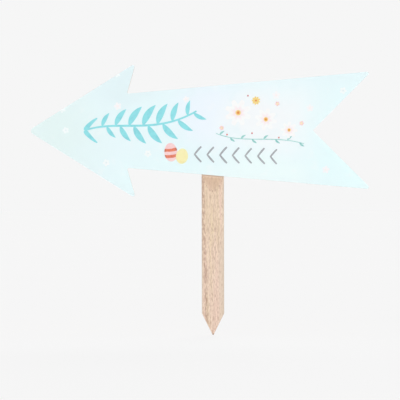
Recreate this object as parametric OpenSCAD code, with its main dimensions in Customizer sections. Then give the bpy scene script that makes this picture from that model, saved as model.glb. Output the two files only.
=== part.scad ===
// Directional sign stake: an arrow-shaped board fixed to the front of a pointed wooden stake.
// The origin is the tip of the stake, midway through its thickness. Z is up, the arrow points
// to -X and its printed face looks to -Y.

/* [Arrow board] */
// Length from the sharp point of the nose to the tips of the tail
board_l = 385; // [340:1:440]
// Thickness of the board
board_t = 5; // [3.5:0.5:9]
// Length of the arrow head, from the point of the nose to its barbs
head_l = 121; // [90:1:150]
// Height of the arrow head across its two barbs
head_h = 152; // [135:1:190]
// How far the barbs sweep back past the corners where the shaft begins
barb_sweep = 10; // [0:0.5:20]
// Height of the shaft where it leaves the head
shaft_head_h = 83; // [60:1:100]
// Height of the shaft across its two tail tips
shaft_tail_h = 132; // [110:1:160]
// Depth of the V notch in the tail
notch_depth = 66; // [40:1:80]
// Radius that rounds the nose
nose_r = 4; // [1:0.5:8]
// Radius that rounds the barbs and the tail tips
tip_r = 2; // [0.5:0.25:3]
// Radius that the cutter leaves in the inner corners
inner_r = 1.5; // [0.5:0.25:3]

/* [Stake] */
// Height of the board's centre line above the tip of the stake
board_z = 229; // [150:1:400]
// Distance from the point of the nose to the centre line of the stake
nose_to_stake = 207; // [150:1:270]
// Width of the stake
stake_w = 25; // [18:0.5:34]
// Thickness of the stake
stake_t = 6; // [5:0.5:12]
// How far the hidden end of the stake stops short of the board's upper edge
top_cover = 10; // [4:0.5:16]
// Length of the point that goes into the ground
point_l = 24; // [12:1:60]
// Width of the blunt end of the point
point_flat = 1; // [0.5:0.25:4]
// How far each long edge of the stake is eased
arris = 0.5; // [0.2:0.1:1.5]

/* [Screws] */
// Distance between the two screws
screw_spacing = 50; // [24:1:60]
// Diameter of the screws over the thread
screw_d = 3; // [2:0.5:4]
// Diameter of the countersunk screw heads
screw_head_d = 5.6; // [5.2:0.2:8]
// Height of the straight rim round a screw head
screw_rim = 0.3; // [0.2:0.1:0.6]
// Length of the screw's sharp point
screw_point_l = 2.5; // [1:0.25:3]
// How far the heads sit below the back of the stake
head_sink = 0.3; // [0:0.1:0.8]
// Thickness of board left in front of a screw's point
front_cover = 0.7; // [0.5:0.1:1.5]
// Gap all round a screw in its hole
screw_gap = 0.05; // [0.02:0.01:0.15]

/* [Screw recess] */
// Width across the cross recess
recess_d = 3; // [2.4:0.1:3.6]
// Width of each slot of the cross
recess_slot = 0.8; // [0.5:0.1:1.2]
// Depth of the cross recess
recess_depth = 1.4; // [0.8:0.1:1.6]

/* [Hidden] */

ARC_STEPS = 10;
ROUND_FN = 48;
CUT_PAST = 1;
CROSS_TURNS = [0, 90];

nose_x = -nose_to_stake;
board_back_y = -stake_t / 2;
shaft_x = head_l - barb_sweep;
shaft_slope = (shaft_tail_h - shaft_head_h) / 2 / (board_l - shaft_x);
stake_left = nose_to_stake - stake_w / 2;
stake_top = board_z + shaft_half_h(stake_left) - top_cover;
screw_l = stake_t - head_sink + board_t - front_cover;
recess_tip_d = recess_slot;

// Half the height of the shaft at a distance x behind the point of the nose.
function shaft_half_h(x) = shaft_head_h / 2 + (x - shaft_x) * shaft_slope;

// Corners of the arrow's upper half, from the head to the tail: [distance behind the nose,
// height above the centre line, radius].
upper_corners = [
    [head_l, head_h / 2, tip_r],
    [shaft_x, shaft_head_h / 2, inner_r],
    [board_l, shaft_tail_h / 2, tip_r],
];

// The whole outline, clockwise from the nose. The lower half mirrors the upper one.
arrow_corners = concat(
    [[0, 0, nose_r]],
    upper_corners,
    [[board_l - notch_depth, 0, inner_r]],
    [for (i = [len(upper_corners) - 1:-1:0]) flipped(upper_corners[i])]
);

function flipped(corner) = [corner.x, -corner.y, corner.z];
function unit(v) = v / norm(v);
function flat(corner) = [corner.x, corner.y];

// Points of the arc of radius r that touches both edges of a corner.
function corner_arc(before, corner, after, r) =
    let (
        back = unit(before - corner),
        ahead = unit(after - corner),
        half_angle = acos(back * ahead) / 2,
        centre = corner + unit(back + ahead) * r / sin(half_angle),
        reach = r / tan(half_angle),
        first = corner + back * reach - centre,
        last = corner + ahead * reach - centre,
        sweep = atan2(first.x * last.y - first.y * last.x, first * last),
        start = atan2(first.y, first.x)
    )
    [for (i = [0:ARC_STEPS])
        centre + r * [cos(start + sweep * i / ARC_STEPS), sin(start + sweep * i / ARC_STEPS)]];

// Outline of a polygon whose corners are each rounded by their own radius.
function rounded(corners) =
    let (n = len(corners))
    [for (i = [0:n - 1])
        each corner_arc(
            flat(corners[(i + n - 1) % n]),
            flat(corners[i]),
            flat(corners[(i + 1) % n]),
            corners[i].z
        )];

// Stands a shape drawn in X and Y upright in X and Z, and gives it a thickness back from y.
module upright_plate(y, thickness) {
    translate([0, y + thickness, 0])
        rotate([90, 0, 0])
            linear_extrude(thickness)
                children();
}

// Half section of a screw from its head to its point. A larger gap makes the hole for it,
// which also runs out through the back of the stake.
module screw_section(gap, past) {
    head_r = screw_head_d / 2 + gap;
    shank_r = screw_d / 2 + gap;
    cone_end = screw_rim + head_r - shank_r;
    end = screw_l + gap;
    polygon([
        [0, -past],
        [head_r, -past],
        [head_r, screw_rim],
        [shank_r, cone_end],
        [shank_r, end - screw_point_l],
        [0, end],
    ]);
}

// Turns the half section about the screw's axis, pointing from the stake into the board.
module screw_body(z, gap, past) {
    translate([0, stake_t / 2 - head_sink, z])
        rotate([90, 0, 0])
            rotate_extrude($fn = ROUND_FN)
                screw_section(gap, past);
}

function screw_z(side) = board_z + side * screw_spacing / 2;

module screw_holes() {
    for (side = [-1, 1])
        screw_body(screw_z(side), screw_gap, head_sink + CUT_PAST);
}

// Cross recess, which tapers towards the bottom as the driver's tip does.
module cross_recess() {
    intersection() {
        translate([0, 0, -CUT_PAST])
            cylinder(
                h = recess_depth + CUT_PAST,
                d1 = recess_d + (recess_d - recess_tip_d) * CUT_PAST / recess_depth,
                d2 = recess_tip_d,
                $fn = ROUND_FN
            );
        for (turn = CROSS_TURNS)
            rotate([0, 0, turn])
                translate([-recess_d, -recess_slot / 2, -2 * CUT_PAST])
                    cube([2 * recess_d, recess_slot, recess_depth + 3 * CUT_PAST]);
    }
}

module screw(side) {
    color("silver")
        difference() {
            screw_body(screw_z(side), 0, 0);
            translate([0, stake_t / 2 - head_sink, screw_z(side)])
                rotate([90, 0, 0])
                    cross_recess();
        }
}

module arrow_board() {
    color("lightcyan")
        difference() {
            upright_plate(board_back_y - board_t, board_t)
                translate([nose_x, board_z])
                    polygon(rounded(arrow_corners));
            screw_holes();
        }
}

// Front outline of the stake: a straight slat that narrows to its point.
module stake_outline() {
    polygon([
        [-point_flat / 2, 0],
        [point_flat / 2, 0],
        [stake_w / 2, point_l],
        [stake_w / 2, stake_top],
        [-stake_w / 2, stake_top],
        [-stake_w / 2, point_l],
    ]);
}

// Cross section of the slat, with its four long edges eased.
module slat_section() {
    half_w = stake_w / 2;
    half_t = stake_t / 2;
    polygon([
        [-half_w + arris, -half_t],
        [half_w - arris, -half_t],
        [half_w, -half_t + arris],
        [half_w, half_t - arris],
        [half_w - arris, half_t],
        [-half_w + arris, half_t],
        [-half_w, half_t - arris],
        [-half_w, -half_t + arris],
    ]);
}

module stake() {
    color("burlywood")
        difference() {
            intersection() {
                upright_plate(-stake_t / 2, stake_t) stake_outline();
                linear_extrude(stake_top) slat_section();
            }
            screw_holes();
        }
}

module upper_screw() { screw(1); }
module lower_screw() { screw(-1); }

arrow_board();
stake();
upper_screw();
lower_screw();
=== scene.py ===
"""Looks of a directional sign stake: a printed arrow board on a pointed wooden stake."""

import logging
import math
import random
from dataclasses import dataclass, replace
from enum import Enum, auto
from functools import cached_property, partialmethod
from typing import Any

import bmesh
import bpy
from bmesh.types import BMesh, BMVert
from bpy.types import Material, Node, NodeSocket, World
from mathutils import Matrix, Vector


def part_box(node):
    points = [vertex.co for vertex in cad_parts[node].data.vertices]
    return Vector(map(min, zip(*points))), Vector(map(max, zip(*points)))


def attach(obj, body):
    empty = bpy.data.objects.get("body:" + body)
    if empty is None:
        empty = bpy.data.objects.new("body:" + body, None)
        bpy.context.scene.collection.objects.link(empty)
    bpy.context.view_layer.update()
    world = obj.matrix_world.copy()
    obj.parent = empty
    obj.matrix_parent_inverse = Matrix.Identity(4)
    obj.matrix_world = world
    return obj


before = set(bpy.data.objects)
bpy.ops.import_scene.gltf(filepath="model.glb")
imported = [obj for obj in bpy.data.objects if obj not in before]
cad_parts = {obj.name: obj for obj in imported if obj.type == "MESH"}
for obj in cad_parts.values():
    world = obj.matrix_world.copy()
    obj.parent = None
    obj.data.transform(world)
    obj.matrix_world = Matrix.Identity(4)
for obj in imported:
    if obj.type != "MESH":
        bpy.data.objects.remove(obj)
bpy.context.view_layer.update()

log = logging.getLogger("sign_stake")

MM = 0.001
BODY = "root"

# A place on the board's face, or a way across it.
Spot = tuple[float, float] | Vector
Span = tuple[float, float]
Triple = tuple[float, float, float]
# Places of round things, each with its radius.
Places = tuple[tuple[Spot, float], ...]


class Tint(Enum):
    """The colours of the sign and its room as a screen shows them, in steps from 0 to 255."""

    ROOM = (246, 246, 246)
    ROOM_PALE = (250, 249, 249)
    ICE = (232, 249, 252)
    MINT = (229, 246, 245)
    SKY = (228, 245, 248)
    LILAC = (238, 247, 255)
    PEARL = (242, 251, 253)
    AQUA = (232, 254, 255)
    SHALLOWS = (232, 251, 253)
    FOAM = (238, 253, 253)
    CLOUD = (246, 248, 250)
    PAPER = (250, 252, 252)
    BLOSSOM = (243, 252, 252)
    BLOSSOM_EYE = (230, 242, 244)
    BLOSSOM_PINK = (246, 248, 250)
    BLOSSOM_PINK_EYE = (250, 243, 243)
    TURQUOISE = (147, 226, 233)
    TURQUOISE_POOL = (137, 215, 224)
    PENCIL = (163, 168, 173)
    PENCIL_SOFT = (176, 180, 184)
    PETAL = (250, 249, 249)
    BLUSH = (250, 236, 240)
    PINK = (250, 215, 214)
    PINK_DEEP = (244, 196, 199)
    CORAL = (233, 134, 105)
    CORAL_DEEP = (217, 111, 84)
    UMBER = (158, 84, 62)
    YOLK = (249, 241, 183)
    YOLK_DEEP = (244, 228, 160)
    GOLD = (246, 214, 132)
    ORANGE = (228, 140, 72)
    TEAL = (160, 213, 209)
    TEAL_DEEP = (126, 191, 190)
    BERRY = (190, 104, 110)
    FIBRE = (184, 149, 114)
    FIBRE_PALE = (203, 171, 137)
    FIBRE_DARK = (146, 112, 80)
    FIBRE_CUT = (232, 209, 182)
    PINE = (243, 218, 198)
    PINE_PALE = (247, 226, 208)
    PINE_ROSE = (239, 209, 193)
    PINE_YELLOW = (237, 215, 184)
    PINE_MELLOW = (231, 212, 170)
    PINE_GREY = (222, 207, 187)
    PINE_EDGE = (216, 200, 181)
    PINE_VEIN = (205, 176, 154)
    PINE_FLECK = (192, 159, 138)
    PINE_KNOT = (174, 136, 119)
    PINE_STAIN = (207, 174, 148)
    PINE_CUT = (206, 178, 150)
    PINE_END = (126, 100, 82)
    ZINC = (196, 199, 204)
    ZINC_DULL = (166, 170, 176)

    @property
    def linear(self) -> tuple[float, float, float, float]:
        """The colour as light, with full cover."""
        return (*(self._light(step / 255) for step in self.value), 1.0)

    @staticmethod
    def _light(step: float) -> float:
        """Turns one screen step from 0 to 1 into light, as the sRGB standard does."""
        return step / 12.92 if step <= 0.04045 else ((step + 0.055) / 1.055) ** 2.4


class Value:
    """A number that varies over a surface. Python's operators on it add Math nodes."""

    def __init__(self, shader: "Shader", socket: NodeSocket) -> None:
        """Wraps a node's output, with the shader that the node is in."""
        self.shader = shader
        self.socket = socket

    def math(self, operation: str, *others: "Value | float", swapped: bool = False) -> "Value":
        """Adds one Math node.

        Args:
            operation: Blender's name for the operation.
            others: The other numbers that go into it.
            swapped: Whether this value is the second number.

        Returns:
            The node's result.
        """
        numbers = [self, *others]
        if swapped:
            numbers.reverse()
        node = self.shader.add("ShaderNodeMath", {"operation": operation}, dict(enumerate(numbers)))
        return Value(self.shader, node.outputs[0])

    __add__ = __radd__ = partialmethod(math, "ADD")
    __sub__ = partialmethod(math, "SUBTRACT")
    __rsub__ = partialmethod(math, "SUBTRACT", swapped=True)
    __mul__ = __rmul__ = partialmethod(math, "MULTIPLY")
    __truediv__ = partialmethod(math, "DIVIDE")
    __pow__ = partialmethod(math, "POWER")
    __abs__ = partialmethod(math, "ABSOLUTE")
    # 1 where this is less than another number, and 0 elsewhere.
    below = partialmethod(math, "LESS_THAN")
    # The greater of this and another number.
    at_least = partialmethod(math, "MAXIMUM")
    # The square root.
    root = partialmethod(math, "SQRT")

    def rise(self, low: float, high: float) -> "Value":
        """Goes softly from 0 to 1.

        Args:
            low: Where it starts to leave 0.
            high: Where it reaches 1.

        Returns:
            The softened step.
        """
        node = self.shader.add(
            "ShaderNodeMapRange",
            {"interpolation_type": "SMOOTHSTEP"},
            {"Value": self, "From Min": low, "From Max": high},
        )
        return Value(self.shader, node.outputs["Result"])

    def fall(self, low: float, high: float) -> "Value":
        """Goes softly from 1 at low to 0 at high."""
        return 1 - self.rise(low, high)


class Shader:
    """The node tree of a material or a world, and the one method that adds any node to it."""

    # Where a Mix node of colours has its sockets.
    FACTOR, FIRST, SECOND, MIXED = 0, 6, 7, 2

    def __init__(self, owner: Material | World) -> None:
        """Starts with nothing in the tree.

        Args:
            owner: The material or world whose tree it is.
        """
        owner.use_nodes = True
        self.owner = owner
        self.tree = owner.node_tree
        self.tree.nodes.clear()

    def add(
        self,
        kind: str,
        settings: dict[str, Any] | None = None,
        inputs: dict[str | int, Any] | None = None,
    ) -> Node:
        """Adds one node.

        Args:
            kind: Blender's name for the node.
            settings: The node's own settings, which are made first.
            inputs: What goes into its sockets, by name or place: values, colours or links.

        Returns:
            The new node.
        """
        node = self.tree.nodes.new(kind)
        for setting, choice in (settings or {}).items():
            setattr(node, setting, choice)
        for socket, source in (inputs or {}).items():
            if isinstance(source, Value):
                source = source.socket
            if isinstance(source, Tint):
                source = source.linear
            if isinstance(source, NodeSocket):
                self.tree.links.new(source, node.inputs[socket])
            else:
                node.inputs[socket].default_value = source
        return node

    @cached_property
    def place(self) -> NodeSocket:
        """The point on the object, in metres."""
        return self.add("ShaderNodeTexCoord").outputs["Object"]

    @cached_property
    def xyz(self) -> tuple[Value, Value, Value]:
        """The three numbers of that point, each by itself."""
        return self.split(self.place)

    @cached_property
    def uv(self) -> tuple[Value, Value, Value]:
        """The piece's own UV map, on which a disc has its middle at 0.5 and 0.5."""
        return self.split(self.add("ShaderNodeTexCoord").outputs["UV"])

    def split(self, vector: NodeSocket) -> tuple[Value, Value, Value]:
        """The three numbers of a vector."""
        node = self.add("ShaderNodeSeparateXYZ", inputs={0: vector})
        return tuple(Value(self, output) for output in node.outputs)

    def join(self, x: Value | float, y: Value | float, z: Value | float) -> NodeSocket:
        """A vector of three numbers."""
        return self.add("ShaderNodeCombineXYZ", inputs={0: x, 1: y, 2: z}).outputs[0]

    def noise(
        self,
        size: float,
        stretch: Triple = (1, 1, 1),
        shift: Triple = (0, 0, 0),
        detail: float = 2,
        roughness: float = 0.5,
        at: NodeSocket | None = None,
    ) -> Value:
        """Cloudy noise.

        Args:
            size: How large its clouds are, in millimetres.
            stretch: How many times longer they are along X, Y and Z.
            shift: Moves the pattern, so that two of them differ, in metres.
            detail: How many finer layers it holds.
            roughness: How strong the finer layers are.
            at: The point to read it at, where that isn't the point on the object.

        Returns:
            A number from 0 to 1 that stays mostly near a half.
        """
        vector = self.place if at is None else at
        scale = tuple(1 / times for times in stretch)
        scaled = self.add(
            "ShaderNodeMapping", inputs={"Vector": vector, "Location": shift, "Scale": scale}
        )
        clouds = {"Scale": 1 / (size * MM), "Detail": detail, "Roughness": roughness}
        node = self.add("ShaderNodeTexNoise", inputs={"Vector": scaled.outputs[0], **clouds})
        return Value(self, node.outputs["Fac"])

    def paint(self, ground: Any, *coats: tuple[Any, Value]) -> NodeSocket:
        """Paints colours over one another.

        Args:
            ground: The colour at the bottom.
            coats: Each colour that goes over it, with how much of it shows.

        Returns:
            The colour that shows in the end.
        """
        for colour, share in coats:
            inputs = {self.FACTOR: share, self.FIRST: ground, self.SECOND: colour}
            ground = self.add("ShaderNodeMix", {"data_type": "RGBA"}, inputs).outputs[self.MIXED]
        return ground

    def finish(
        self,
        colour: NodeSocket,
        roughness: Value | float,
        height: Value,
        depth: float,
        metallic: float = 0.0,
        gloss: float = 0.3,
    ) -> Material:
        """Closes the material with its surface.

        Args:
            colour: The colour over the surface.
            roughness: How rough it is.
            height: Relief from 0 to 1.
            depth: How deep that relief is, in millimetres.
            metallic: 1 for bare metal.
            gloss: How strongly the surface mirrors.

        Returns:
            The finished material.
        """
        relief = self.add("ShaderNodeBump", inputs={"Height": height, "Distance": depth * MM})
        inputs = {
            "Base Color": colour,
            "Roughness": roughness,
            "Metallic": metallic,
            "Specular IOR Level": gloss,
            "Normal": relief.outputs[0],
        }
        surface = self.add("ShaderNodeBsdfPrincipled", inputs=inputs)
        self.add("ShaderNodeOutputMaterial", inputs={"Surface": surface.outputs[0]})
        return self.owner


@dataclass(frozen=True)
class BoardFace:
    """The printed face of the board, measured from the frame in metres.

    A place on it is given in millimetres: along, from the tip of the nose towards the tail, and
    up, from the centre line.
    """

    nose_x: float
    centre_z: float
    front_y: float
    back_y: float
    head_length: float = 121.0
    head_half_height: float = 76.0
    nose_rounding: float = 3.5
    film: float = 0.02

    @classmethod
    def from_frame(cls) -> "BoardFace":
        """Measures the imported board."""
        low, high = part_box("arrow_board")
        return cls(low.x, (low.z + high.z) / 2, low.y, high.y)

    @property
    def middle_y(self) -> float:
        """Halfway through the board."""
        return (self.front_y + self.back_y) / 2

    def point(self, spot: Spot, layer: int = 0) -> Vector:
        """The point in the frame of a place on the print, on top of so many films of ink."""
        x, z = self.nose_x + spot[0] * MM, self.centre_z + spot[1] * MM
        return Vector((x, self.front_y - layer * self.film * MM, z))


class Press(Enum):
    """How hard the brush is pressed along a stroke."""

    LEAF = auto()
    DRAG = auto()
    PEN = auto()

    def width(self, travel: float) -> float:
        """The share of the stroke's full width.

        Args:
            travel: How far along the stroke, from 0 to 1.

        Returns:
            A share from nearly 0 to 1.
        """
        if self is Press.LEAF:
            tip, belly, fullness = 0.08, 0.85, 0.8
            return max(tip, math.sin(math.pi * travel**belly) ** fullness)
        if self is Press.DRAG:
            tip, start, spread, taper = 0.1, 0.55, 3.5, 0.45
            return max(tip, min(1.0, start + spread * travel) * (1 - travel) ** taper)
        ends, swell = 0.8, 0.2
        return ends + swell * math.sin(math.pi * travel)


def bowed(root: Spot, reach: Spot, bow: Spot) -> tuple[Spot, ...]:
    """The control points of a curve from a root over a reach, its middle pulled aside."""
    start, way = Vector(root), Vector(reach)
    return start, start + way / 2 + Vector(bow), start + way


@dataclass(frozen=True)
class Stroke:
    """One pull of the brush along a curve, in millimetres on the board's face."""

    controls: tuple[Spot, ...]
    width: float
    press: Press
    layer: int = 0
    steps: int = 10

    def spot(self, travel: float) -> Vector:
        """The point on the curve, found on the lines between its control points.

        Args:
            travel: How far along the stroke, from 0 to 1.

        Returns:
            The point, in millimetres.
        """
        points = [Vector(control) for control in self.controls]
        while len(points) > 1:
            points = [a.lerp(b, travel) for a, b in zip(points, points[1:])]
        return points[0]

    def heading(self, start: float = 0.0, end: float = 1.0) -> float:
        """The angle, in radians, of the way from one point of the curve to another."""
        ahead = self.spot(min(1, end)) - self.spot(max(0, start))
        return math.atan2(ahead.y, ahead.x)

    def sections(self) -> list[tuple[Vector, float, float]]:
        """The cross sections of the stroke.

        Returns:
            For each section its place, the angle of the stroke there and its width.
        """
        made = []
        nudge = 0.5 / self.steps
        for step in range(self.steps + 1):
            travel = 0.5 - 0.5 * math.cos(math.pi * step / self.steps)
            angle = self.heading(travel - nudge, travel + nudge)
            made.append((self.spot(travel), angle, self.width * self.press.width(travel)))
        return made


@dataclass(frozen=True)
class Shape:
    """A shape in a film that can be copied: its points, its root, its angle and its layer."""

    first: int
    last: int
    spot: Spot
    angle: float
    layer: int


class Film:
    """A flat film of ink on the board, modelled as one mesh in edit mode and thickened last."""

    UPRIGHT = (math.radians(90), 0, 0)
    DISC_CORNERS, DOT_CORNERS, EGG_CORNERS = 16, 10, 24
    CORNERS_PER_PETAL = 4
    EGG_PINCH = 0.94
    SMOOTHING = 2

    def __init__(self, name: str, face: BoardFace) -> None:
        """Starts an empty piece in edit mode.

        Args:
            name: The piece's name.
            face: The face that it is printed on.
        """
        bpy.ops.object.select_all(action="DESELECT")
        bpy.ops.object.add(type="MESH", enter_editmode=True)
        self.object = bpy.context.object
        self.object.name = name
        self.face = face
        self.earlier = 0
        self.cuts: list[tuple[Vector, Vector, float]] = []

    def _edit(self) -> BMesh:
        """The mesh as edit mode holds it."""
        return bmesh.from_edit_mesh(self.object.data)

    def _select(self, chosen: list[BMVert]) -> None:
        """Selects points, with the edges and faces between them, and nothing else.

        Args:
            chosen: The points.
        """
        mesh = self._edit()
        for part in (*mesh.faces, *mesh.edges, *mesh.verts):
            part.select = False
        for point in chosen:
            point.select = True
        mesh.select_flush(True)
        bmesh.update_edit_mesh(self.object.data)

    def _newest(self) -> list[BMVert]:
        """The points of the shape that was started last."""
        return self._edit().verts[self.earlier :]

    def _start(self) -> None:
        """Gets ready for a new shape: whatever is added from here on belongs to it."""
        self.earlier = len(self._edit().verts)
        bpy.ops.mesh.select_all(action="DESELECT")

    def _shape(self, spot: Spot, angle: float = 0.0, layer: int = 0) -> Shape:
        """The shape that was started last."""
        return Shape(self.earlier, len(self._edit().verts), spot, angle, layer)

    def disc(
        self, spot: Spot, radius: float, layer: int = 0, corners: int = DISC_CORNERS
    ) -> Shape:
        """Adds a round disc and leaves it selected.

        Args:
            spot: The place of its centre.
            radius: Its radius, in millimetres.
            layer: How many films of ink lie under it.
            corners: How many points its rim starts with.

        Returns:
            The disc.
        """
        self._start()
        bpy.ops.mesh.primitive_circle_add(
            vertices=corners,
            radius=radius * MM,
            fill_type="TRIFAN",
            location=self.face.point(spot, layer),
            rotation=self.UPRIGHT,
        )
        return self._shape(spot, layer=layer)

    def flower(
        self, spot: Spot, radius: float, petals: int, waist: float, layer: int = 0
    ) -> Shape:
        """Adds a flower, whose petals are made by drawing in the rim of a disc between them.

        Args:
            spot: The place of its centre.
            radius: How far its petals reach, in millimetres.
            petals: How many petals it has.
            waist: How far out the clefts between petals reach, as a share of the radius.
            layer: How many films of ink lie under it.

        Returns:
            The flower.
        """
        centre = self.face.point(spot, layer)
        corners = petals * self.CORNERS_PER_PETAL
        shape = self.disc(spot, radius, layer, corners)
        clefts = []
        for point in self._newest():
            out = point.co - centre
            corner = round(math.atan2(out.z, out.x) / (math.tau / corners))
            if out.length > radius * MM / 2 and corner % self.CORNERS_PER_PETAL == 0:
                clefts.append(point)
        self._select(clefts)
        bpy.ops.transform.resize(value=(waist, 1, waist), center_override=centre)
        return shape

    def egg(self, spot: Spot, width: float, height: float, lean: float, layer: int = 0) -> None:
        """Adds an egg with its narrow end up.

        Args:
            spot: The place of its centre.
            width: Its width, in millimetres.
            height: Its height, in millimetres.
            lean: How far its top leans to the left, in degrees.
            layer: How many films of ink lie under it.
        """
        centre = self.face.point(spot, layer)
        self.disc(spot, width / 2, layer, self.EGG_CORNERS)
        bpy.ops.transform.resize(value=(1, 1, height / width), center_override=centre)
        self._select([p for p in self._newest() if p.co.z > centre.z + height * MM / 6])
        bpy.ops.transform.resize(
            value=(self.EGG_PINCH, 1, 1),
            center_override=centre,
            use_proportional_edit=True,
            proportional_edit_falloff="SMOOTH",
            proportional_size=height * MM / 3,
        )
        self._select(self._newest())
        self._turn(math.radians(lean), centre)

    @staticmethod
    def _turn(angle: float, centre: Vector) -> None:
        """Turns what is selected about a point, in the plane of the board."""
        bpy.ops.transform.rotate(value=angle, orient_axis="Y", center_override=centre)

    def stroke(self, stroke: Stroke) -> Shape:
        """Adds one brush stroke, drawn out edge by edge from a small plane.

        Args:
            stroke: The stroke.

        Returns:
            The painted stroke, with its root at the stroke's first point.
        """
        sections = [
            (self.face.point(spot, stroke.layer), angle, width * MM)
            for spot, angle, width in stroke.sections()
        ]
        (start, angle, width), (end, *_) = sections[:2]
        middle = (start + end) / 2
        self._start()
        bpy.ops.mesh.primitive_plane_add(size=1, location=middle, rotation=self.UPRIGHT)
        bpy.ops.transform.resize(value=((end - start).length, 1, width), center_override=middle)
        self._turn(angle, middle)
        ahead = Vector((math.cos(angle), 0, math.sin(angle)))
        self._select([p for p in self._newest() if (p.co - middle).dot(ahead) > 0])
        for (place, angle, width), (last_place, last_angle, last_width) in zip(
            sections[1:], sections
        ):
            if last_place != start:
                way = {"value": place - last_place}
                bpy.ops.mesh.extrude_region_move(TRANSFORM_OT_translate=way)
            self._turn(angle - last_angle, place)
            share = width / last_width
            bpy.ops.transform.resize(value=(share, share, share), center_override=place)
        return self._shape(stroke.controls[0], stroke.heading(), stroke.layer)

    def copy(
        self,
        shape: Shape,
        spot: Spot,
        size: float = 1.0,
        angle: float = 0.0,
        mirrored: bool = False,
        lift: int = 0,
    ) -> None:
        """Copies a shape to another place on the board.

        Args:
            shape: The shape, which stays where it is.
            spot: The place of the copy's root.
            size: How many times larger the copy is.
            angle: The angle that the copy lies at, in radians.
            mirrored: Whether the copy is turned over first.
            lift: How many films further out it lies.
        """
        self._select(self._edit().verts[shape.first : shape.last])
        root = self.face.point(shape.spot, shape.layer)
        place = self.face.point(spot, shape.layer + lift)
        bpy.ops.mesh.duplicate_move(TRANSFORM_OT_translate={"value": place - root})
        way = -1 if mirrored else 1
        bpy.ops.transform.resize(value=(size, 1, size * way), center_override=place)
        self._turn(angle - shape.angle * way, place)

    def cut_along_head(self, spot: Spot, reach: float) -> None:
        """Notes a print that the board's upper head edge cuts off.

        Args:
            spot: A place near the edge, in millimetres.
            reach: How far round that place the print is cut.
        """
        slope = self.face.head_half_height / self.face.head_length
        along = spot[0]
        on_edge = self.face.point((along, (along + self.face.nose_rounding) * slope))
        self.cuts.append((on_edge, Vector((-slope, 0, 1)).normalized(), reach * MM))

    def finish(self, ink: "Ink") -> None:
        """Smooths the outlines, cuts them, gives the film its thickness and dresses it.

        Args:
            ink: The ink that it is made of.
        """
        bpy.ops.object.mode_set(mode="OBJECT")
        smooth = self.object.modifiers.new("smooth_outline", "SUBSURF")
        smooth.levels = smooth.render_levels = self.SMOOTHING
        bpy.ops.object.modifier_apply(modifier=smooth.name)
        bpy.ops.object.mode_set(mode="EDIT")
        for on_edge, outwards, reach in self.cuts:
            self._select([p for p in self._edit().verts if (p.co - on_edge).length < reach])
            bpy.ops.mesh.bisect(plane_co=on_edge, plane_no=outwards, clear_outer=True)
        self._select([])
        for flat in self._edit().faces:
            flat.select_set(flat.normal.y > 0)
        bmesh.update_edit_mesh(self.object.data)
        bpy.ops.mesh.flip_normals()
        bpy.ops.object.mode_set(mode="OBJECT")
        body = self.object.modifiers.new("film", "SOLIDIFY")
        body.thickness = self.face.film * MM
        body.offset = 1
        bpy.ops.object.modifier_apply(modifier=body.name)
        self.object.data.materials.append(ink.build())
        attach(self.object, BODY)
        log.info("%s: %d faces", self.object.name, len(self.object.data.polygons))


@dataclass(frozen=True)
class Ink:
    """Flat printing ink with the soft drift of watercolour."""

    name: str
    body: Tint
    drift: Tint
    drift_size: float = 6.0
    drift_share: float = 1.0
    heart: Tint | None = None
    heart_reach: float = 0.6
    roughness: float = 0.55
    grain_size: float = 0.5
    grain_depth: float = 0.01

    def colour(self, shader: Shader) -> NodeSocket:
        """The ink's colour, with another in the heart of each disc where it has one.

        Args:
            shader: The shader that it is made in.

        Returns:
            The colour over the surface.
        """
        clouds = shader.noise(self.drift_size, detail=4, roughness=0.6)
        made = shader.paint(self.body, (self.drift, clouds.rise(0.42, 0.68) * self.drift_share))
        if self.heart is None:
            return made
        u, v, _ = shader.uv
        # 0 in the middle of a disc and 1 at its rim.
        out = ((u - 0.5) ** 2 + (v - 0.5) ** 2).root() * 2
        return shader.paint(made, (self.heart, out.fall(self.heart_reach / 3, self.heart_reach)))

    def build(self) -> Material:
        """Makes the material.

        Returns:
            The finished material.
        """
        shader = Shader(bpy.data.materials.new(self.name))
        colour = self.colour(shader)
        grain = shader.noise(self.grain_size)
        return shader.finish(colour, self.roughness + 0.1 * grain, grain, self.grain_depth)


@dataclass(frozen=True)
class BandedInk(Ink):
    """Ink for a painted egg, with bands of another colour across it."""

    band: Tint = Tint.CORAL
    band_drift: Tint = Tint.CORAL_DEEP
    band_end: Tint = Tint.UMBER
    heights: tuple[float, ...] = (0.61, 0.275)
    thickness: float = 0.162
    blur: float = 0.012
    bow: float = 0.14
    ends: Span = (0.32, 0.46)
    wobble: float = 0.05
    wobble_size: float = 3.0
    cloud_size: float = 2.5

    def colour(self, shader: Shader) -> NodeSocket:
        """The egg's colour with its bands painted over it.

        Args:
            shader: The shader that it is made in.

        Returns:
            The colour over the surface.
        """
        u, v, _ = shader.uv
        clouds = shader.noise(self.cloud_size, detail=3)
        paint = shader.paint(
            self.band,
            (self.band_drift, clouds.rise(0.4, 0.75)),
            (self.band_end, abs(u - 0.5).rise(*self.ends) * 0.55),
        )
        wobble = (shader.noise(self.wobble_size, detail=1) - 0.5) * self.wobble
        level = v - (u - 0.5) ** 2 * self.bow + wobble
        half = self.thickness / 2
        spread = half - self.blur, half + self.blur
        bands = ((paint, abs(level - height).fall(*spread)) for height in self.heights)
        return shader.paint(super().colour(shader), *bands)


@dataclass(frozen=True)
class Wash:
    """One soft pool of watercolour on the board, in millimetres on its face."""

    tint: Tint
    middle: Spot
    reach: Spot
    strength: float = 1.0


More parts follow.
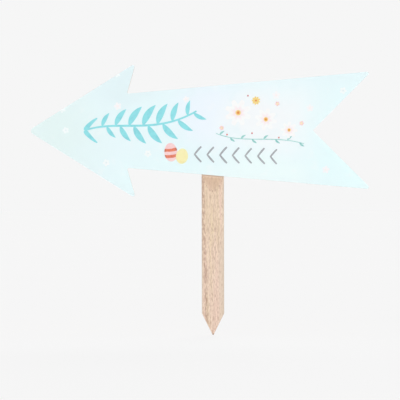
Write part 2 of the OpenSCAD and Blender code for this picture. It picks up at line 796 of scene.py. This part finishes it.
@dataclass(frozen=True)
class BoardFinish:
    """Fibreboard with a watercolour print on its front face, and bare edges and back.

    Sizes are in millimetres. A span says where a soft change starts and where it ends.
    """

    face: BoardFace
    rim: float = 0.04
    core: Span = (1.3, 2.4)
    relief: float = 0.12
    wander: float = 34.0
    wander_size: float = 55.0
    bloom_size: float = 22.0
    fibre_size: float = 1.4
    blotch_size: float = 18.0
    layer_size: float = 0.4
    tooth_size: float = 0.6
    fuzz_size: float = 1.0
    wash_edge: Span = (0.25, 1.0)
    washes: tuple[Wash, ...] = (
        Wash(Tint.MINT, (-5, 0), (118, 100)),
        Wash(Tint.SKY, (104, 52), (60, 34)),
        Wash(Tint.SHALLOWS, (150, -52), (105, 34)),
        Wash(Tint.LILAC, (204, 20), (60, 52)),
        Wash(Tint.PEARL, (270, 8), (88, 66)),
        Wash(Tint.FOAM, (258, -48), (88, 28)),
        Wash(Tint.AQUA, (374, -24), (90, 100)),
        Wash(Tint.CLOUD, (256, 14), (56, 40), 0.8),
    )

    def _print(self, shader: Shader, along: Value, up: Value) -> NodeSocket:
        """The watercolour on the front face.

        Args:
            shader: The shader that it is made in.
            along: Millimetres from the nose.
            up: Millimetres from the centre line.

        Returns:
            The colour.
        """
        along = along + (shader.noise(self.wander_size, detail=3) - 0.5) * self.wander
        drift = shader.noise(self.wander_size, shift=(3, 1, 2), detail=3)
        up = up + (drift - 0.5) * self.wander
        coats = []
        for wash in self.washes:
            (middle_along, middle_up), (reach_along, reach_up) = wash.middle, wash.reach
            out = ((along - middle_along) / reach_along) ** 2 + ((up - middle_up) / reach_up) ** 2
            coats.append((wash.tint, out.root().fall(*self.wash_edge) * wash.strength))
        blooms = shader.noise(self.bloom_size, shift=(1, 5, 0), detail=4, roughness=0.6)
        coats.append((Tint.PAPER, blooms.rise(0.55, 0.8) * 0.35))
        coats.append((Tint.SKY, blooms.fall(0.25, 0.45) * 0.35))
        return shader.paint(Tint.ICE, *coats)

    def _fibre(self, shader: Shader, y: Value) -> NodeSocket:
        """Bare fibreboard: short matted fibres, paler where it was cut, above all in its core.

        Args:
            shader: The shader that it is made in.
            y: The point's Y, in metres.

        Returns:
            The colour.
        """
        fibres = shader.noise(self.fibre_size, (2.2, 1, 1), detail=5, roughness=0.75)
        blotches = shader.noise(self.blotch_size)
        layers = shader.noise(self.layer_size, (5, 1, 5), (4, 0, 1), detail=3)
        sawn = y.below(self.face.back_y - self.rim * MM)
        skin = abs((y - self.face.middle_y) / MM).rise(*self.core)
        return shader.paint(
            Tint.FIBRE,
            (Tint.FIBRE_PALE, fibres.rise(0.45, 0.7)),
            (Tint.FIBRE_DARK, fibres.fall(0.3, 0.45) * 0.7),
            (Tint.FIBRE_PALE, blotches.rise(0.45, 0.7) * 0.4),
            (Tint.FIBRE_CUT, sawn * (0.75 - 0.4 * skin)),
            (Tint.FIBRE_DARK, sawn * layers.rise(0.46, 0.7) * 0.36),
        )

    def build(self) -> Material:
        """Makes the material.

        Returns:
            The finished material.
        """
        shader = Shader(bpy.data.materials.new("printed_fibreboard"))
        x, y, z = shader.xyz
        along = (x - self.face.nose_x) / MM
        up = (z - self.face.centre_z) / MM
        front = y.below(self.face.front_y + self.rim * MM)
        colour = shader.paint(self._fibre(shader, y), (self._print(shader, along, up), front))
        tooth = shader.noise(self.tooth_size, detail=3)
        fuzz = shader.noise(self.fuzz_size, detail=4, roughness=0.7)
        height = tooth * front * 0.2 + fuzz * (1 - front)
        return shader.finish(colour, 0.9 - 0.35 * front, height, self.relief)


@dataclass(frozen=True)
class StakeFinish:
    """Bare sawn softwood, its grain running up the slat.

    Sizes are in millimetres: heights above the tip of the stake, or above the board's edge for
    the stain with its painted shade and for the strip of painted light. A span says where a soft
    change starts and where it ends.
    """

    half_width: float
    board_edge_z: float
    board_edge_slope: float
    relief: float = 0.12
    sway: float = 5.0
    sway_size: float = 11.0
    band_width: float = 5.0
    streak_width: float = 0.8
    fleck_width: float = 0.75
    break_size: float = 1.6
    pore_size: float = 0.45
    fibre_size: float = 0.5
    speck_size: float = 1.5
    edge_width: float = 2.6
    vein_foot_x: float = -6.8
    vein_lean: float = -0.026
    vein_half: float = 2.3
    mellow: Span = (100.0, 165.0)
    mellow_lean: float = -4.0
    grey_across: Span = (4.5, 9.0)
    grey_top: Span = (85.0, 130.0)
    # Painted shade: where the stake's left edge is painted darker, across it and between two
    # heights.
    left_edge_shade_across: Span = (-12.0, -11.0)
    left_edge_shade_foot: Span = (75.0, 95.0)
    left_edge_shade_top: Span = (140.0, 160.0)
    cut_facing: Span = (0.15, 0.35)
    damp_tip: Span = (0.4, 2.2)
    # The patch below the board's edge: in part a stain, in part painted shade of the board.
    stain_and_shade_top: Span = (-4.0, -0.5)
    stain_and_shade_drop: float = 18.0
    stain_and_shade_bow: float = 8.6
    stain_and_shade_blur: Span = (-3.0, 6.0)
    rim_outside: Span = (-1.4, 0.2)
    rim_inside: Span = (0.8, 2.6)
    # Painted light: a paler strip on the stake's front just under the board's edge, against the
    # board's shadow there.
    painted_light_strip: Span = (-3.5, -0.8)

    def _grain(self, shader: Shader, at: NodeSocket) -> NodeSocket:
        """The bands, streaks and short flecks of the wood.

        Args:
            shader: The shader that it is made in.
            at: The point, moved sideways the way that the grain waves.

        Returns:
            The colour.
        """
        bands = shader.noise(self.band_width, (1, 1, 18), at=at)
        streaks = shader.noise(self.streak_width, (1, 1, 34), (1, 0, 2), detail=3, at=at)
        flecks = shader.noise(self.fleck_width, (1, 1, 7), roughness=0.6, at=at)
        return shader.paint(
            Tint.PINE,
            (Tint.PINE_ROSE, bands.rise(0.46, 0.68) * 0.8),
            (Tint.PINE_YELLOW, bands.fall(0.32, 0.5) * 0.9),
            (Tint.PINE_VEIN, streaks.rise(0.46, 0.62) * 0.55),
            (Tint.PINE_PALE, flecks.fall(0.34, 0.5) * 0.65),
            (Tint.PINE_FLECK, flecks.rise(0.5, 0.62) * 0.65),
        )

    def _stain_and_shade(
        self, shader: Shader, above: Value, across: Value, front: Value, broken: Value
    ) -> tuple[tuple[Tint, Value], ...]:
        """The water stain that hangs below the board, in part painted shade of the board, and the
        strip of painted light along the board's edge.

        Args:
            shader: The shader that it is made in.
            above: How far above the board's edge a point lies.
            across: How far to the right of the stake's middle, swaying with the grain.
            front: 1 on the front half of the stake and 0 on the rest.
            broken: Noise that breaks the stain up.

        Returns:
            Its coats of colour, each with how much of it shows.
        """
        # A bowl-shaped darker patch below the board's edge: in part a stain, in part painted shade
        # of the board.
        inside = above + self.stain_and_shade_drop - across**2 / self.stain_and_shade_bow
        below_edge = above.fall(*self.stain_and_shade_top) * front
        stain_and_shade = inside.rise(*self.stain_and_shade_blur) * below_edge
        specks = shader.noise(self.speck_size, (1, 1, 1.6), (1, 0, 3))
        rim = inside.rise(*self.rim_outside) * inside.fall(*self.rim_inside) * below_edge
        return (
            (Tint.PINE_STAIN, stain_and_shade * (0.35 + broken) * 0.6),
            (Tint.PINE_KNOT, rim * specks.rise(0.48, 0.6) * 0.75),
            # Painted light: lightens the stake's front just below the board's edge.
            (Tint.PINE_PALE, above.rise(*self.painted_light_strip) * front * 0.7),
        )

    def build(self) -> Material:
        """Makes the material.

        Returns:
            The finished material.
        """
        shader = Shader(bpy.data.materials.new("sawn_softwood"))
        x, y, z = shader.xyz
        across, height = x / MM, z / MM
        sway = (shader.noise(self.sway_size, (1, 1, 2.5)) - 0.5) * self.sway
        broken = shader.noise(self.break_size, (1, 1, 3), (0, 0, 7))
        pores = shader.noise(self.pore_size, (4, 1, 1), detail=3)
        fibres = shader.noise(self.fibre_size, (1, 1, 14), detail=3)
        mellow = (height + across * self.mellow_lean).rise(*self.mellow)
        grey = across.rise(*self.grey_across) * height.fall(*self.grey_top)
        outer = abs(across).rise(self.half_width - self.edge_width, self.half_width)
        off_vein = abs(across + sway * 0.3 - self.vein_foot_x - height * self.vein_lean)
        vein = off_vein.fall(self.vein_half * 0.3, self.vein_half)
        # Painted shade, not wear: the stake's left edge darker between two heights, broken up by
        # noise.
        left_edge_shade = across.fall(*self.left_edge_shade_across) * height.rise(*self.left_edge_shade_foot)
        left_edge_shade = left_edge_shade * height.fall(*self.left_edge_shade_top)
        facing = shader.split(shader.add("ShaderNodeNewGeometry").outputs["True Normal"])
        cut = abs(facing[2]).rise(*self.cut_facing)
        above = height - self.board_edge_z - across * self.board_edge_slope
        colour = shader.paint(
            self._grain(shader, shader.join((across + sway) * MM, y, z)),
            (Tint.PINE_MELLOW, mellow * 0.22),
            (Tint.PINE_GREY, grey * 0.45),
            (Tint.PINE_EDGE, outer * 0.7),
            (Tint.PINE_KNOT, vein * broken.rise(0.38, 0.6) * 0.6),
            # Painted shade along the stake's left edge.
            (Tint.PINE_KNOT, left_edge_shade * broken.rise(0.35, 0.6) * 0.5),
            (Tint.PINE_CUT, cut * (0.55 + 0.5 * pores)),
            *self._stain_and_shade(shader, above, across + sway * 0.5, y.below(0), broken),
            (Tint.PINE_END, height.fall(*self.damp_tip) * 0.7),
        )
        return shader.finish(colour, 0.66 + 0.2 * fibres, fibres + broken * 0.5, self.relief)


@dataclass(frozen=True)
class ScrewFinish:
    """Zinc-plated steel with the faint rings that turning leaves round a screw's axis."""

    centre_z: float
    ring: float = 0.25
    dull_size: float = 1.5
    relief: float = 0.01

    def build(self) -> Material:
        """Makes the material.

        Returns:
            The finished material.
        """
        shader = Shader(bpy.data.materials.new("zinc_plate"))
        x, y, z = shader.xyz
        out = (x**2 + (z - self.centre_z) ** 2).root()
        rings = shader.noise(self.ring, at=shader.join(out, y, 0.0))
        dull = shader.noise(self.dull_size, detail=3)
        colour = shader.paint(Tint.ZINC, (Tint.ZINC_DULL, dull.rise(0.4, 0.7)))
        return shader.finish(colour, 0.28 + 0.2 * dull, rings, self.relief, metallic=1.0)


@dataclass
class BrushSprig:
    """A leafy sprig in turquoise brushwork whose stem ends as an arrow head at the left."""

    face: BoardFace
    tip: Spot = (60.0, 0.5)
    stem_bends: tuple[Spot, ...] = ((98.0, 13.5), (138.0, -6.0))
    end: Spot = (185.5, 22.0)
    stem_width: float = 2.4
    stem_steps: int = 26
    look_ahead: float = 0.02
    pairs: int = 7
    first_pair: float = 0.17
    last_pair: float = 0.93
    lower_lag: float = 0.045
    leaf_width: float = 7.9
    leaf_length: float = 27.0
    leaf_lean: float = 56.0
    leaf_bow: float = 0.16
    end_share: float = 0.64
    lower_share: float = 0.94
    barb_length: float = 20.0
    barb_width: float = 5.8
    barb_opening: float = 44.0
    barb_bow: Spot = (-1.2, 1.4)

    @property
    def stem(self) -> Stroke:
        """The long line that the leaves grow from."""
        controls = (self.tip, *self.stem_bends, self.end)
        return Stroke(controls, self.stem_width, Press.PEN, steps=self.stem_steps)

    def _leaf_places(self) -> list[tuple[Vector, float, float, int]]:
        """Where the leaves grow, the longest of them in the middle of the stem.

        Returns:
            For each leaf its root, its angle, its size as a share of the largest leaf, and its
            side of the stem, which is 1 above it and -1 below.
        """
        stem = self.stem
        places = []
        for pair in range(self.pairs):
            passed = pair / (self.pairs - 1)
            travel = self.first_pair + (self.last_pair - self.first_pair) * passed
            size = self.end_share + (1 - self.end_share) * math.sin(math.pi * passed)
            for side, lag, share in ((1, 0.0, 1.0), (-1, self.lower_lag, self.lower_share)):
                at = travel + lag
                ahead = at + self.look_ahead
                angle = stem.heading(at, ahead) + side * math.radians(self.leaf_lean)
                places.append((stem.spot(at), angle, size * share, side))
        return places

    def build(self) -> None:
        """Paints the stem, one leaf and its copies, and the arrow head as one film."""
        film = Film("brush_sprig", self.face)
        film.stroke(self.stem)
        (root, angle, first, _), *others = self._leaf_places()
        reach = Vector((math.cos(angle), math.sin(angle))) * self.leaf_length * first
        controls = bowed(root, reach, Vector((-reach.y, reach.x)) * self.leaf_bow)
        leaf = film.stroke(Stroke(controls, self.leaf_width * first, Press.LEAF, layer=1))
        for root, angle, share, side in others:
            film.copy(leaf, root, share / first, angle, mirrored=side < 0)
        half_opening = math.radians(self.barb_opening)
        reach = Vector((math.cos(half_opening), math.sin(half_opening))) * self.barb_length
        controls = bowed(self.tip, reach, self.barb_bow)
        barb = film.stroke(Stroke(controls, self.barb_width, Press.DRAG, layer=1))
        film.copy(barb, self.tip, angle=-half_opening, mirrored=True, lift=1)
        film.finish(Ink("turquoise_ink", Tint.TURQUOISE, Tint.TURQUOISE_POOL, 7.0))


@dataclass
class ChevronRow:
    """A row of thin hand-drawn chevrons that point the way the arrow does."""

    face: BoardFace
    first: Spot = (183.2, -26.5)
    last: Spot = (268.2, -29.2)
    count: int = 7
    height: float = 17.5
    depth: float = 7.5
    bow: Spot = (-0.3, 0.4)
    pen: float = 2.2
    tip_radius: float = 0.9
    sizes: Span = (0.94, 1.06)
    wobble: float = 2.5
    seed: int = 11

    def build(self) -> None:
        """Draws one chevron, and copies it along the row as an unsteady hand would."""
        film = Film("chevron_row", self.face)
        dot = film.disc(self.first, self.tip_radius)
        for layer, side in enumerate((1, -1), start=1):
            reach = (self.depth, side * self.height / 2)
            controls = bowed(self.first, reach, (self.bow[0], side * self.bow[1]))
            arm = film.stroke(Stroke(controls, self.pen, Press.PEN, layer, steps=6))
        chevron = replace(dot, last=arm.last)
        hand = random.Random(self.seed)
        for index in range(1, self.count):
            spot = Vector(self.first).lerp(Vector(self.last), index / (self.count - 1))
            size = hand.uniform(*self.sizes)
            film.copy(chevron, spot, size, math.radians(hand.uniform(-1, 1) * self.wobble))
        film.finish(Ink("pencil_grey", Tint.PENCIL, Tint.PENCIL_SOFT, 4.0))


@dataclass
class EggPair:
    """Two painted eggs, the plain one overlapping the banded one."""

    face: BoardFace
    pink_place: Spot = (156.6, -24.1)
    pink_size: Spot = (15.2, 21.0)
    pink_lean: float = 6.0
    yellow_place: Spot = (169.0, -28.5)
    yellow_size: Spot = (13.9, 17.3)
    yellow_lean: float = -8.0

    def build(self) -> None:
        """Prints both eggs."""
        pink = Film("banded_egg", self.face)
        pink.egg(self.pink_place, *self.pink_size, self.pink_lean)
        pink.finish(BandedInk("banded_egg_ink", Tint.PINK, Tint.PINK_DEEP, 5.0, 0.5))
        yellow = Film("plain_egg", self.face)
        yellow.egg(self.yellow_place, *self.yellow_size, self.yellow_lean, layer=1)
        yellow.finish(Ink("plain_egg_ink", Tint.YOLK, Tint.YOLK_DEEP, 6.0, 0.6))


@dataclass(frozen=True)
class Blossoms:
    """Small blossoms of one colour, and the places they are strewn over."""

    name: str
    petal: Tint
    eye: Tint
    places: Places
    cut: Places = ()
    cut_reach: float = 2.5
    petals: int = 5
    waist: float = 0.55
    eye_share: float = 0.3

    def build(self, face: BoardFace) -> None:
        """Prints the petals as one film and the middles as another.

        Args:
            face: The face that they are printed on.
        """
        hand = random.Random(len(self.places))
        (first, full), *others = self.places
        petals = Film(self.name, face)
        blossom = petals.flower(first, full, self.petals, self.waist)
        for spot, radius in (*others, *self.cut):
            petals.copy(blossom, spot, radius / full, hand.uniform(0, math.tau / self.petals))
        for spot, radius in self.cut:
            petals.cut_along_head(spot, self.cut_reach * radius)
        petals.finish(Ink(f"{self.name}_ink", self.petal, Tint.PAPER, 3.0, 0.5))
        eyes = Film(f"{self.name}_eyes", face)
        eye = eyes.disc(first, full * self.eye_share, 1, Film.DOT_CORNERS)
        for spot, radius in others:
            eyes.copy(eye, spot, radius / full)
        eyes.finish(Ink(f"{self.name}_eye_ink", self.eye, self.petal, 3.0, 0.4))


@dataclass
class BlossomScatter:
    """Two kinds of blossom strewn over the board, some of them cut off by its edge."""

    face: BoardFace
    kinds: tuple[Blossoms, ...] = (
        Blossoms(
            "white_blossoms",
            Tint.BLOSSOM,
            Tint.BLOSSOM_EYE,
            (((38.9, 0.7), 3.8), ((130.8, -25.6), 4.1), ((84.3, -35.7), 4.0), ((349.7, 44.5), 4.0)),
            (((35.0, 24.3), 4.0), ((96.6, 63.5), 3.6)),
        ),
        Blossoms(
            "pink_blossoms",
            Tint.BLOSSOM_PINK,
            Tint.BLOSSOM_PINK_EYE,
            (
                ((97.2, 27.6), 4.4),
                ((330.1, -44.0), 4.3),
                ((274.7, 39.4), 4.6),
                ((312.5, 25.0), 4.2),
                ((173.9, 35.0), 3.8),
            ),
        ),
    )

    def build(self) -> None:
        """Prints both kinds."""
        for kind in self.kinds:
            kind.build(self.face)


@dataclass
class DaisySpray:
    """A spray of three white daisies with buds, berries and leaves on a thin stem."""

    face: BoardFace
    daisies: Places = (((232.0, 20.0), 15.0), ((263.0, 12.5), 12.5), ((289.0, 0.5), 9.5))
    petals: int = 8
    waist: float = 0.5
    turn: float = 9.0
    eye_share: float = 0.21
    gold_place: Spot = (252.0, 33.5)
    gold_radius: float = 4.8
    gold_petals: int = 9
    gold_waist: float = 0.6
    gold_eye: float = 2.0
    buds: tuple[Spot, ...] = ((213.5, 3.0), (276.0, 30.0), (303.0, 8.0))
    bud_radius: float = 2.6
    bud_petals: int = 5
    bud_waist: float = 0.62
    bud_turn: float = 17.0
    berries: tuple[Spot, ...] = ((219.5, -4.5), (247.5, -3.0), (277.5, -8.0), (243.0, 39.0))
    berry_radius: float = 1.0
    stem: Stroke = Stroke(
        ((207.0, -3.0), (236.0, -16.0), (270.0, -4.0), (306.0, -15.0)), 0.9, Press.PEN, steps=16
    )
    leaves: int = 8
    first_leaf: float = 0.05
    last_leaf: float = 0.95
    leaf_reach: Spot = (5.4, 4.4)
    leaf_bow: Spot = (-0.9, 0.9)
    leaf_width: float = 2.5

    def _green(self) -> None:
        """Paints the stem, one leaf and its copies on both sides."""
        film = Film("spray_leaves", self.face)
        film.stroke(self.stem)
        step = (self.last_leaf - self.first_leaf) / (self.leaves - 1)
        roots = [self.stem.spot(self.first_leaf + step * leaf) for leaf in range(self.leaves)]
        controls = bowed(roots[0], self.leaf_reach, self.leaf_bow)
        leaf = film.stroke(Stroke(controls, self.leaf_width, Press.LEAF, layer=1, steps=6))
        for index, root in enumerate(roots[1:]):
            below = index % 2 == 0
            film.copy(leaf, root, angle=-leaf.angle if below else leaf.angle, mirrored=below)
        film.finish(Ink("leaf_teal", Tint.TEAL, Tint.TEAL_DEEP, 3.0, 0.7))

    def _flowers(self) -> None:
        """Prints one daisy and its copies, and the small golden flower."""
        (first, full), *others = self.daisies
        petals = Film("daisy_petals", self.face)
        daisy = petals.flower(first, full, self.petals, self.waist, layer=2)
        for index, (spot, radius) in enumerate(others, start=1):
            petals.copy(daisy, spot, radius / full, math.radians(self.turn * index))
        petals.finish(Ink("daisy_white", Tint.PAPER, Tint.PETAL, 5.0, 1.0, Tint.BLUSH, 0.7))
        gold = Film("gold_flower", self.face)
        gold.flower(self.gold_place, self.gold_radius, self.gold_petals, self.gold_waist, layer=2)
        gold.finish(Ink("gold_petal", Tint.GOLD, Tint.YOLK_DEEP, 2.5, 0.8))

    def _middles(self) -> None:
        """Prints what lies on the flowers or between them."""
        (first, full), *others = self.daisies
        eyes = Film("flower_eyes", self.face)
        eye = eyes.disc(first, full * self.eye_share, layer=3)
        for spot, radius in others:
            eyes.copy(eye, spot, radius / full)
        eyes.copy(eye, self.gold_place, self.gold_eye / (full * self.eye_share))
        eyes.finish(Ink("eye_gold", Tint.GOLD, Tint.YOLK_DEEP, 2.0, 1.0, Tint.ORANGE, 0.8))
        buds = Film("pink_buds", self.face)
        bud = buds.flower(self.buds[0], self.bud_radius, self.bud_petals, self.bud_waist, layer=2)
        for index, spot in enumerate(self.buds[1:], start=1):
            buds.copy(bud, spot, angle=math.radians(self.bud_turn * index))
        buds.finish(Ink("bud_pink", Tint.PINK, Tint.PINK_DEEP, 2.5, heart=Tint.YOLK))
        berries = Film("berries", self.face)
        berry = berries.disc(self.berries[0], self.berry_radius, 2, Film.DOT_CORNERS)
        for spot in self.berries[1:]:
            berries.copy(berry, spot)
        berries.finish(Ink("berry_red", Tint.BERRY, Tint.CORAL, 1.5))

    def build(self) -> None:
        """Prints the green, then the flowers over it, then their middles."""
        self._green()
        self._flowers()
        self._middles()


@dataclass
class Sign:
    """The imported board, stake and screws, which keep their shapes and get their finishes."""

    face: BoardFace

    def _dress(self, node: str, finish: BoardFinish | StakeFinish | ScrewFinish) -> None:
        """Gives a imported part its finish.

        Args:
            node: The part's name.
            finish: The finish.
        """
        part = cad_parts[node]
        part.data.materials.clear()
        part.data.materials.append(finish.build())
        log.info("%s: dressed in %s", node, part.data.materials[0].name)

    def _board_edge(self, x: float) -> float:
        """Looks up beside the stake for the lower edge of the board.

        Args:
            x: How far to the right to look, in metres.

        Returns:
            The edge's height, in millimetres.
        """
        below = Vector((x, self.face.middle_y, 0))
        bpy.context.view_layer.update()
        _, edge, *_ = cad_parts["arrow_board"].ray_cast(below, Vector((0, 0, 1)))
        return edge.z / MM

    def build(self) -> None:
        """Dresses the board, the stake and both screws."""
        self._dress("arrow_board", BoardFinish(self.face))
        low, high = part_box("stake")
        left, right = self._board_edge(low.x), self._board_edge(high.x)
        width = (high.x - low.x) / MM
        self._dress("stake", StakeFinish(width / 2, (left + right) / 2, (right - left) / width))
        for node in ("upper_screw", "lower_screw"):
            low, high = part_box(node)
            self._dress(node, ScrewFinish((low.z + high.z) / 2))


@dataclass(frozen=True)
class Lamp:
    """A broad, soft sun. Its share is how much light it gives a white wall that faces it."""

    name: str
    comes_from: Triple
    share: float
    softness: float = 40.0

    def build(self) -> None:
        """Hangs the lamp."""
        light = bpy.data.lights.new(self.name, "SUN")
        light.energy = self.share * math.pi
        light.angle = math.radians(self.softness)
        lamp = bpy.data.objects.new(self.name, light)
        lamp.rotation_euler = Vector(self.comes_from).to_track_quat("Z", "Y").to_euler()
        bpy.context.scene.collection.objects.link(lamp)


@dataclass
class Studio:
    """The plain pale room, its soft light and the camera of the photograph."""

    face: BoardFace
    picture_width: float = 0.448
    distance: float = 2.5
    sensor: float = 36.0
    clip: Span = (0.1, 100.0)
    camera_x: float = -0.0144
    camera_drop: float = 0.0777
    camera_roll: float = 0.12
    sky: float = 0.42
    floor_share: float = 0.2
    floor_glow: float = 1.07
    floor_size: float = 60.0
    floor_gap: float = 0.0002
    floor_grain: float = 400.0
    lamps: tuple[Lamp, ...] = (
        Lamp("front", (0.05, -1, 0.05), 0.48),
        Lamp("key", (-0.5, -0.8, 0.3), 0.14),
        Lamp("fill", (0.65, -0.7, 0.2), 0.08),
        Lamp("left", (-1, 0.1, 0.15), 0.2),
        Lamp("right", (1, 0.1, 0.15), 0.16),
        Lamp("back", (0.2, 0.9, 0.35), 0.45),
    )

    def _camera(self) -> None:
        """Sets up the camera: square to the board, far off and a hair's breadth off level."""
        camera = bpy.data.cameras.new("camera")
        camera.sensor_width = self.sensor
        camera.lens = self.sensor * self.distance / self.picture_width
        camera.clip_start, camera.clip_end = self.clip
        stand = bpy.data.objects.new("camera", camera)
        height = self.face.centre_z - self.camera_drop
        stand.location = (self.camera_x, self.face.front_y - self.distance, height)
        stand.rotation_euler = (math.radians(90), math.radians(self.camera_roll), 0)
        bpy.context.scene.collection.objects.link(stand)
        bpy.context.scene.camera = stand

    @staticmethod
    def _seen(shader: Shader) -> Value:
        """Tells what shows apart from what lights the room.

        Args:
            shader: The shader that it is made in.

        Returns:
            1 for what the camera sees, straight, through glass or in a mirror, and 0 elsewhere.
        """
        path = shader.add("ShaderNodeLightPath")
        camera, glossy, through = (
            Value(shader, path.outputs[ray])
            for ray in ("Is Camera Ray", "Is Glossy Ray", "Is Transmission Ray")
        )
        return camera.at_least(glossy).at_least(through)

    def _world(self) -> None:
        """Lights the room evenly and shows the paper behind the object."""
        world = bpy.data.worlds.new("room")
        shader = Shader(world)
        dim = (*(self.sky * light for light in Tint.ROOM.linear[:3]), 1.0)
        colour = shader.paint(dim, (Tint.ROOM, self._seen(shader)))
        light = shader.add("ShaderNodeBackground", inputs={"Color": colour})
        shader.add("ShaderNodeOutputWorld", inputs={"Surface": light.outputs[0]})
        bpy.context.scene.world = world

    def _floor(self) -> None:
        """Lays the floor, which carries the object's soft shadow."""
        bpy.ops.object.select_all(action="DESELECT")
        bpy.ops.mesh.primitive_plane_add(size=self.floor_size, location=(0, 0, -self.floor_gap))
        floor = bpy.context.object
        floor.name = "floor"
        bpy.ops.object.transform_apply(location=True, rotation=False, scale=False)
        shader = Shader(bpy.data.materials.new("floor_paper"))
        grain = shader.noise(self.floor_grain, detail=1)
        colour = shader.paint(Tint.ROOM, (Tint.ROOM_PALE, grain))
        paper = shader.add("ShaderNodeBsdfDiffuse", inputs={"Color": colour})
        glow = shader.add(
            "ShaderNodeEmission", inputs={"Color": Tint.ROOM, "Strength": self.floor_glow}
        )
        share = self._seen(shader) * (1 - self.floor_share)
        surface = shader.add(
            "ShaderNodeMixShader", inputs={0: share, 1: paper.outputs[0], 2: glow.outputs[0]}
        )
        shader.add("ShaderNodeOutputMaterial", inputs={"Surface": surface.outputs[0]})
        floor.data.materials.append(shader.owner)

    def build(self) -> None:
        """Makes the camera, the lamps, the room's light and the floor."""
        self._camera()
        self._world()
        self._floor()
        for lamp in self.lamps:
            lamp.build()
        bpy.context.scene.view_settings.view_transform = "Standard"


def main() -> None:
    """Builds the room and every part of the sign, in order."""
    logging.basicConfig(level=logging.INFO, format="%(name)s: %(message)s")
    face = BoardFace.from_frame()
    for part in (Studio, Sign, BrushSprig, ChevronRow, EggPair, BlossomScatter, DaisySpray):
        part(face).build()
        log.info("%s is done", part.__name__)


if __name__ == "__main__":
    main()
